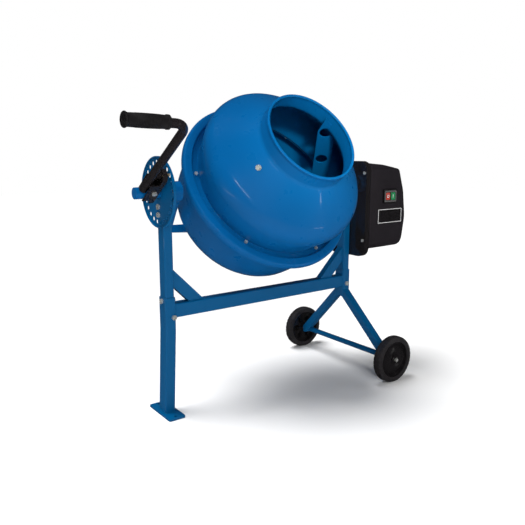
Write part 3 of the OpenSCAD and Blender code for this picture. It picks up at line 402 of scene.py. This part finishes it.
# Hub dish: from its hole outwards a bulge, up to this share of its width, and then a hollow
HUB_HOLE_R = 12.6 * MM
HUB_T = 1.6 * MM
HUB_STEPS = 26
HUB_BULGE = 4.875 * MM
HUB_HOLLOW = 3.75 * MM
BULGE_END = 0.72

RIBS = 6
RIB_T = 2.6 * MM


def wheel_frame(name, side):
    """Local Z points outwards along the axle, from the middle of the wheel."""
    at = Vector(JOINTS[f"{name}_wheel_spin"]["pos_m"])
    return axes_frame(at, UP, side * TO_REAR)


def wheel_size(node):
    """Radius and half width of a round node whose axis is along Y."""
    low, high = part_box(node)
    return (high.z - low.z) / 2, (high.y - low.y) / 2


def tyre(name, side):
    """Tyre with two grooves round its middle and staggered lugs on both shoulders."""
    radius, half = wheel_size(f"{name}_tyre")
    bore = radius - TYRE_WALL
    wall = [(bore, half - 2 * MM), (bore + 2 * MM, half - 0.4 * MM), (bore + 6 * MM, half),
            (radius - 7 * MM, half - 0.2 * MM), (radius - 6 * MM, half - 1 * MM)]
    profile = [(r, -z) for r, z in wall]
    for i in range(TREAD_STEPS + 1):
        z = -half + TREAD_EDGE + (2 * half - 2 * TREAD_EDGE) * i / TREAD_STEPS
        crown = (abs(z) / half) ** 5 * SHOULDER_DROP
        groove = GROOVE_DEPTH if abs(abs(z) - GROOVE_AT) < GROOVE_W / 2 else 0
        profile.append((radius - crown - groove, z))
    profile += reversed(wall)

    def lugs(r, z, angle):
        if r < radius - LUG_FROM or abs(z) < LUG_FROM:
            return 0
        turn = (angle / math.tau * LUGS + (0.5 if z > 0 else 0)) % 1
        return -LUG_DEPTH if turn < LUG_GAP else 0

    mesh = revolved(f"{name}_tyre_tread", profile, wheel_frame(name, side), LUGS * 12, lugs)
    piece = add_piece(mesh, f"{name}_wheel", "tyre_rubber")
    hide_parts(f"{name}_tyre")


def hub_dish(name, side):
    """The glossy dished cover on a wheel's outer face, open at its centre for the axle end."""
    radius, half = wheel_size(f"{name}_rim")
    outer = radius - 0.6 * MM
    face = half - 4.6 * MM
    front = []
    for i in range(HUB_STEPS + 1):
        t = i / HUB_STEPS
        if t < BULGE_END:
            rise = HUB_BULGE * math.sin(math.pi * t / BULGE_END)
        else:
            rise = -HUB_HOLLOW * math.sin(math.pi * (t - BULGE_END) / (1 - BULGE_END))
        front.append((HUB_HOLE_R + (outer - HUB_HOLE_R) * t, face + rise))
    back = [(r, z - HUB_T) for r, z in reversed(front)]
    mesh = revolved(f"{name}_hub_dish", front + back, wheel_frame(name, side), 96)
    add_piece(mesh, f"{name}_wheel", "black_gloss_plastic", bevel=0.3 * MM)


def spoke_ribs(name, side):
    """Stiffening ribs on the inner face of a rim, one between each pair of windows."""
    radius, half = wheel_size(f"{name}_rim")
    outer = radius - 3.4 * MM
    outline = [(14 * MM, -3 * MM), (14 * MM, -half + 2 * MM), (30 * MM, -half + 5 * MM),
               (outer, -half + 4 * MM), (outer, -3 * MM)]
    local = wheel_frame(name, side)
    build = bmesh.new()
    for k in range(RIBS):
        turn = local @ Matrix.Rotation(math.tau * (k + 0.5) / RIBS, 4, "Z")
        near = [build.verts.new(turn @ Vector((r, -RIB_T / 2, z))) for r, z in outline]
        far = [build.verts.new(turn @ Vector((r, RIB_T / 2, z))) for r, z in outline]
        build.faces.new(near)
        build.faces.new(list(reversed(far)))
        for i in range(len(outline)):
            j = (i + 1) % len(outline)
            build.faces.new((near[j], near[i], far[i], far[j]))
    bmesh.ops.recalc_face_normals(build, faces=build.faces)
    add_piece(mesh_of(f"{name}_spoke_ribs", build), f"{name}_wheel", "black_gloss_plastic", bevel=0.4 * MM)


# ---------- hand lever ----------

GRIP_LEAN = math.radians(2.6)
GRIP_LEN = 109 * MM
GRIP_STEPS = 300
GRIP_R = 14.7 * MM
GRIP_BORE_R = 11.1 * MM
GRIP_BARREL = 0.8 * MM
GRIP_OVAL = 0.35 * MM
FLANGE_R = 17.8 * MM
FLANGE_T = 5 * MM
# Where the grip's features start and end, as shares of its body's length from the flange on
FILLET_END, COLLAR_FROM = 0.04, 0.93
FINGER_RIBS, FINGERS_FROM, FINGERS_TO = 17, 0.20, 0.80
# The small hole through the closed end, and the raised pads round it
END_HOLE_R = 2.5 * MM
CLOSED_END_T = 9 * MM
PADS = 8


def grip_radius(t):
    """Radius of the grip's body at a share t of its length, from the flange on."""
    r = GRIP_R + GRIP_BARREL * math.sin(math.pi * t)
    if t < FILLET_END:
        r += 1.6 * MM * (1 - t / FILLET_END) ** 2
    if FINGERS_FROM < t < FINGERS_TO:
        along = (t - FINGERS_FROM) / (FINGERS_TO - FINGERS_FROM)
        wave = 0.5 - 0.5 * math.cos(math.tau * FINGER_RIBS * along)
        r += 0.75 * MM * wave ** 0.6 - 0.35 * MM
    if t > COLLAR_FROM:
        r += 1.5 * MM * min(1, (t - COLLAR_FROM) / 0.012)
    return r


def hand_grip():
    """Rubber sleeve: flanged end, slightly oval barrelled body, finger ribs and a collar."""
    low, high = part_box("hand_grip")
    along = math.cos(GRIP_LEAN) * TILT_AXIS - math.sin(GRIP_LEAN) * DRUM_AXIS
    across = along.cross(TO_REAR).normalized()
    local = axes_frame((low + high) / 2 - along * GRIP_LEN / 2, across, along)
    profile = [(END_HOLE_R, 0.9 * MM), (8 * MM, 0.9 * MM), (8.4 * MM, 0.2 * MM), (FLANGE_R - 3 * MM, 0),
               (FLANGE_R - 0.8 * MM, 0.5 * MM), (FLANGE_R, 1.8 * MM), (FLANGE_R, FLANGE_T - 1.5 * MM),
               (FLANGE_R - 1.2 * MM, FLANGE_T)]
    for i in range(GRIP_STEPS + 1):
        t = i / GRIP_STEPS
        profile.append((grip_radius(t), FLANGE_T + 0.4 * MM + (GRIP_LEN - FLANGE_T - 2.4 * MM) * t))
    profile += [(GRIP_R + 0.6 * MM, GRIP_LEN - 1 * MM), (GRIP_R - 1 * MM, GRIP_LEN),
                (GRIP_BORE_R, GRIP_LEN), (GRIP_BORE_R, CLOSED_END_T), (END_HOLE_R, CLOSED_END_T)]

    def oval(r, z, angle):
        outside = r > GRIP_BORE_R + 2 * MM and z > FLANGE_T
        return GRIP_OVAL * math.cos(2 * angle) if outside else 0

    piece = add_piece(revolved("grip_sleeve", profile, local, 72, oval), "lever", "black_rubber")
    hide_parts("hand_grip")

    build = bmesh.new()
    for k in range(PADS):
        turn = local @ Matrix.Rotation(math.tau * k / PADS, 4, "Z")
        bmesh.ops.create_cone(build, cap_ends=True, segments=20, radius1=2.0 * MM, radius2=1.6 * MM,
                              depth=1.4 * MM, matrix=turn @ Matrix.Translation((12.6 * MM, 0, -0.2 * MM)))
    add_piece(mesh_of("grip_end_pads", build), "lever", "black_rubber", bevel=0.3 * MM)


# ---------- welds ----------

BEAD_SIDES = 8
BEAD_PITCH = 2.6 * MM
BEAD_RIPPLE = 0.16
BEAD_UNEVEN = 0.08
BEAD_UNEVEN_SCALE = 300
WIDE_BEAD_R = 1.9 * MM
NARROW_BEAD_R = 1.5 * MM

# Half the leg's section at the foot plate, and the width of a brace, which runs at 45 degrees
LEG_HALF_W, LEG_HALF_D = 15.9 * MM, 20.2 * MM
BRACE_W = 34 * MM


def bead_path(points, closed):
    """Points along straight runs, at least four to each drop of the bead."""
    path = []
    for a, b in zip(points, points[1:] + points[:1] if closed else points[1:]):
        count = max(2, round((b - a).length / (BEAD_PITCH / 4)))
        path += [a.lerp(b, i / count) for i in range(count)]
    return path if closed else path + [points[-1]]


def swept_bead(name, points, radius, closed):
    """A weld bead along straight runs: a tube whose radius ripples like overlapping drops."""
    path = bead_path(points, closed)
    size = len(path)
    verts = []
    travelled = 0.0
    for i, point in enumerate(path):
        ahead = path[(i + 1) % size] if closed or i < size - 1 else point
        behind = path[i - 1] if closed or i else point
        along = (ahead - behind).normalized()
        across = along.orthogonal() if abs(along.z) > 0.9 else along.cross(UP)
        across.normalize()
        up = along.cross(across)
        phase = travelled / BEAD_PITCH % 1.0
        drop = math.sqrt(1 - (2 * phase - 1) ** 2) - 0.5
        taper = 1.0 if closed else min(1.0, 0.35 + min(i, size - 1 - i) / 6)
        uneven = BEAD_UNEVEN * noise.noise(point * BEAD_UNEVEN_SCALE)
        r = radius * taper * (1 + BEAD_RIPPLE * drop + uneven)
        for k in range(BEAD_SIDES):
            angle = math.tau * k / BEAD_SIDES
            verts.append(point + r * (across * math.cos(angle) + up * math.sin(angle)))
        travelled += (ahead - point).length
    faces = []
    for i in range(size if closed else size - 1):
        a, b = i * BEAD_SIDES, (i + 1) % size * BEAD_SIDES
        for k in range(BEAD_SIDES):
            j = (k + 1) % BEAD_SIDES
            faces.append((a + k, a + j, b + j, b + k))
    if not closed:
        faces.append(tuple(reversed(range(BEAD_SIDES))))
        faces.append(tuple(range((size - 1) * BEAD_SIDES, size * BEAD_SIDES)))
    return mesh_from(name, verts, faces)


def weld(name, corners, radius, closed):
    mesh = swept_bead(name, [Vector(corner) for corner in corners], radius, closed)
    add_piece(mesh, "frame", "blue_paint", "frame_blue")


def frame_welds():
    low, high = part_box("cross_beam")
    for side, x in (("left", low.x), ("right", high.x)):
        corners = [(x, low.y, low.z), (x, high.y, low.z), (x, high.y, high.z), (x, low.y, high.z)]
        weld(f"weld_beam_{side}", corners, WIDE_BEAD_R, closed=True)
    low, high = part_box("foot_plate")
    middle = (low + high) / 2
    corners = [(middle.x + sx * LEG_HALF_W, middle.y + sy * LEG_HALF_D, high.z + 0.4 * MM)
               for sx, sy in ((-1, -1), (1, -1), (1, 1), (-1, 1))]
    weld("weld_foot", corners, WIDE_BEAD_R, closed=True)
    end = BRACE_W * math.sqrt(2)
    for side, sign in (("left", 1), ("right", -1)):
        low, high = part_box(f"{side}_brace")
        wall_x, toe_x = (low.x, high.x) if sign > 0 else (high.x, low.x)
        for face, y in (("front", low.y), ("back", high.y)):
            foot = [(toe_x - sign * end, y, low.z), (toe_x, y, low.z)]
            weld(f"weld_{side}_brace_{face}_foot", foot, NARROW_BEAD_R, closed=False)
            head = [(wall_x, y, high.z - end), (wall_x, y, high.z)]
            weld(f"weld_{side}_brace_{face}_head", head, NARROW_BEAD_R, closed=False)


# ---------- motor housing ----------

PLATE_W, PLATE_H, PLATE_T = 117 * MM, 49 * MM, 1.2 * MM
PLATE_FROM_LEFT, PLATE_FROM_FOOT = 96.5 * MM, 108 * MM
MARK_T = 0.3 * MM


def facing_front(at):
    """Local XY on a face that looks to the front, with local Z pointing out of it."""
    return axes_frame(at, TO_RIGHT, -TO_REAR)


def front_of(node):
    low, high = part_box(node)
    return facing_front(Vector(((low.x + high.x) / 2, low.y, (low.z + high.z) / 2)))


def label_plate():
    """A blank framed plate on the front of the cover."""
    low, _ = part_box("motor_cover")
    local = facing_front(low + Vector((PLATE_FROM_LEFT, 0, PLATE_FROM_FOOT)))
    plate = extruded("label_plate", rounded_outline(PLATE_W, PLATE_H, 2 * MM), local, PLATE_T)
    add_piece(plate, "frame", "black_gloss_plastic", bevel=0.3 * MM)
    outer = rounded_outline(PLATE_W - 3 * MM, PLATE_H - 3 * MM, 1.5 * MM)
    inner = rounded_outline(PLATE_W - 7 * MM, PLATE_H - 7 * MM, 0.8 * MM)
    rim = framed_plate("label_frame", outer, inner, local, PLATE_T + 0.3 * MM)
    add_piece(rim, "frame", "dark_plastic", "light_print", bevel=0.1 * MM)


def switch_details():
    """Raised lip round the two buttons, with the generic on and off marks."""
    lip = framed_plate("switch_lip", rounded_outline(56 * MM, 38 * MM, 4 * MM),
                       rounded_outline(48 * MM, 27 * MM, 2 * MM), front_of("switch_housing"), 2.4 * MM)
    add_piece(lip, "frame", "black_gloss_plastic", "grey_print", bevel=0.7 * MM, segments=3)
    bar = extruded("start_mark", rounded_outline(1.8 * MM, 10 * MM, 0.8 * MM),
                   front_of("start_button"), MARK_T)
    band = [(3.2 * MM, 0), (5.0 * MM, 0), (5.0 * MM, MARK_T), (3.2 * MM, MARK_T)]
    ring = revolved("stop_mark", band, front_of("stop_button"), 40)
    for button, mark in (("start_button", bar), ("stop_button", ring)):
        add_piece(mark, button, NODE_SLOT[button], "light_print")


def cover_seam():
    """A moulded lip where the cover sits in the tray."""
    low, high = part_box("motor_cover")
    _, tray_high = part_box("motor_tray")
    at = Vector((tray_high.x, (low.y + high.y) / 2, (low.z + high.z) / 2))
    width, height = high.y - low.y, high.z - low.z
    lip = framed_plate("cover_lip", rounded_outline(width + 1.6 * MM, height + 4 * MM, 25 * MM, 10),
                       rounded_outline(width - 4 * MM, height - 4 * MM, 22 * MM, 10),
                       axes_frame(at, TO_REAR, TO_RIGHT), 5 * MM)
    add_piece(lip, "frame", "dark_plastic", bevel=1.2 * MM, segments=3)


# ---------- drum fittings ----------

# Where the paddles' bolts pass the dome's sloping shoulder, from the drum axis and the tilt axis
SHOULDER_R = 168 * MM
SHOULDER_Z = 188.1 * MM
SHOULDER_SLOPE = math.radians(32.7)
PADDLE_TURN = math.radians(18)


def paddle_bolt_washers():
    drum = axes_frame(DRUM_AT, TILT_AXIS, DRUM_AXIS)
    place = Matrix.Translation((SHOULDER_R, 0, SHOULDER_Z)) @ Matrix.Rotation(SHOULDER_SLOPE, 4, "Y")
    band = [(3.2 * MM, 0), (8 * MM, 0), (8 * MM, 0.9 * MM), (7.4 * MM, 1.4 * MM), (3.2 * MM, 1.4 * MM)]
    for name, turn in (("upper", PADDLE_TURN), ("lower", PADDLE_TURN + math.pi)):
        local = drum @ Matrix.Rotation(turn, 4, "Z") @ place
        add_piece(revolved(f"paddle_washer_{name}", band, local, 48), "drum", "zinc_plate")


# ---------- stage ----------

def add_lamp(name, kind, power):
    data = bpy.data.lights.new(name, kind)
    data.energy = power
    lamp = bpy.data.objects.new(name, data)
    bpy.context.scene.collection.objects.link(lamp)
    return lamp


def aim(lamp, at, target):
    lamp.location = at
    lamp.rotation_euler = (Vector(target) - Vector(at)).to_track_quat("-Z", "Y").to_euler()


def area_light(name, at, target, size, power):
    """A softbox that lights matt surfaces and is not mirrored in glossy ones."""
    lamp = add_lamp(name, "AREA", power)
    lamp.data.shape = "RECTANGLE"
    lamp.data.size, lamp.data.size_y = size
    lamp.visible_glossy = False
    aim(lamp, at, target)


def overhead_light(name, at, power, spread):
    """An even soft light from above, which keeps the whole floor pale."""
    lamp = add_lamp(name, "SUN", power)
    lamp.data.angle = math.radians(spread)
    lamp.visible_glossy = False
    aim(lamp, at, (0, 0, 0))


def snooted_light(name, at, target, cone, power):
    """A narrow soft beam into the mouth of the drum."""
    lamp = add_lamp(name, "SPOT", power)
    lamp.data.spot_size = math.radians(cone)
    lamp.data.spot_blend = 0.8
    lamp.data.shadow_soft_size = 0.12
    lamp.data.color = (1.0, 1.0, 0.8)
    lamp.visible_glossy = False
    aim(lamp, at, target)


def mirror_strip(name, start, end, target, width, power):
    """A thin lamp from start to end, seen as a streak in gloss paint."""
    start, end, target = Vector(start), Vector(end), Vector(target)
    lamp = add_lamp(name, "AREA", power)
    lamp.data.shape = "RECTANGLE"
    lamp.data.size, lamp.data.size_y = width, (end - start).length
    middle = (start + end) / 2
    back = (middle - target).normalized()
    across = (end - start).cross(back).normalized()
    lamp.matrix_world = axes_frame(middle, across, back)


def pale_floor():
    reach = 9
    mesh = mesh_from("floor", [(-reach, -reach, 0), (reach, -reach, 0), (reach, reach, 0),
                               (-reach, reach, 0)], [(0, 1, 2, 3)])
    floor = bpy.data.objects.new("floor", mesh)
    bpy.context.scene.collection.objects.link(floor)
    shader = Shader("pale_floor")
    shader.mottle(shader.noise(2, 2), (0.94, 0.94, 0.94), (0.96, 0.96, 0.96))
    shader.socket("Roughness", 0.8)
    shader.socket("Specular IOR Level", 0.0)
    mesh.materials.append(shader.material)
    floor.visible_glossy = False


def surroundings():
    """White backdrop, soft fill for matt surfaces and dark surroundings for reflections."""
    world = bpy.data.worlds.new("studio")
    world.use_nodes = True
    bpy.context.scene.world = world
    nodes, links = world.node_tree.nodes, world.node_tree.links
    path = nodes.new("ShaderNodeLightPath")

    def background(strength):
        node = nodes.new("ShaderNodeBackground")
        node.inputs["Color"].default_value = (1, 1, 1, 1)
        node.inputs["Strength"].default_value = strength
        return node.outputs["Background"]

    def choose(test, otherwise, chosen):
        node = nodes.new("ShaderNodeMixShader")
        links.new(path.outputs[test], node.inputs["Fac"])
        links.new(otherwise, node.inputs[1])
        links.new(chosen, node.inputs[2])
        return node.outputs["Shader"]

    unseen = choose("Is Glossy Ray", background(0.07), background(0.02))
    links.new(choose("Is Camera Ray", unseen, background(1.0)), nodes["World Output"].inputs["Surface"])


def lamps():
    overhead_light("overhead", (-0.8, 0.75, 3), power=3.4, spread=34)
    area_light("key", (-1.1, -2.8, 1.6), (0, 0, 0.5), size=(1.8, 1.8), power=52)
    snooted_light("mouth", (-0.75, -1.95, 1.3), (0.03, -0.25, 0.77), cone=12, power=230)
    area_light("side", (2.6, -1.2, 0.9), (0.2, 0, 0.4), size=(1.0, 1.2), power=8)
    streak = [(-1.66, -1.68, 2.16), (-1.57, -1.95, 1.9), (-1.39, -2.34, 1.42)]
    for k, (start, end) in enumerate(zip(streak, streak[1:])):
        mirror_strip(f"dome_strip_{k}", start, end, (-0.2, -0.15, 0.65), width=0.06, power=1.7)
    mirror_strip("neck_strip", (1.69, -2.2, 0.52), (1.79, -2.13, 0.74), (0, -0.24, 0.6),
                 width=0.08, power=0.35)
    mirror_strip("wheel_strip", (1.5, -2.5, 0.14), (1.95, -2.2, 0.14), (0.3, -0.25, 0.1),
                 width=0.06, power=0.6)
    mirror_strip("low_strip", (-2.7, 0.6, 0.12), (-2.7, -0.8, 0.12), (-0.2, 0, 0.5),
                 width=0.06, power=1.2)


# The viewpoint of the picture that the mixer was made from, relative to the middle of the tilt axis
EYE_FROM_TILT = Vector((-1051.65, -1420.84, 107.35)) * MM
LOOK_DOWN = math.radians(10.76)
LOOK_TURN = math.radians(-36.4)


def camera():
    data = bpy.data.cameras.new("camera")
    data.lens = 40.19
    data.sensor_width = 36
    data.shift_x = -0.0012
    eye = bpy.data.objects.new("camera", data)
    bpy.context.scene.collection.objects.link(eye)
    eye.location = TILT_AT + EYE_FROM_TILT
    eye.rotation_euler = (math.pi / 2 - LOOK_DOWN, 0, LOOK_TURN)
    bpy.context.scene.camera = eye


finish_cad_nodes()
for wheel, outward in WHEELS.items():
    tyre(wheel, outward)
    hub_dish(wheel, outward)
    spoke_ribs(wheel, outward)
hand_grip()
frame_welds()
label_plate()
switch_details()
cover_seam()
paddle_bolt_washers()
pale_floor()
surroundings()
lamps()
camera()
bpy.context.scene.view_settings.view_transform = "Standard"
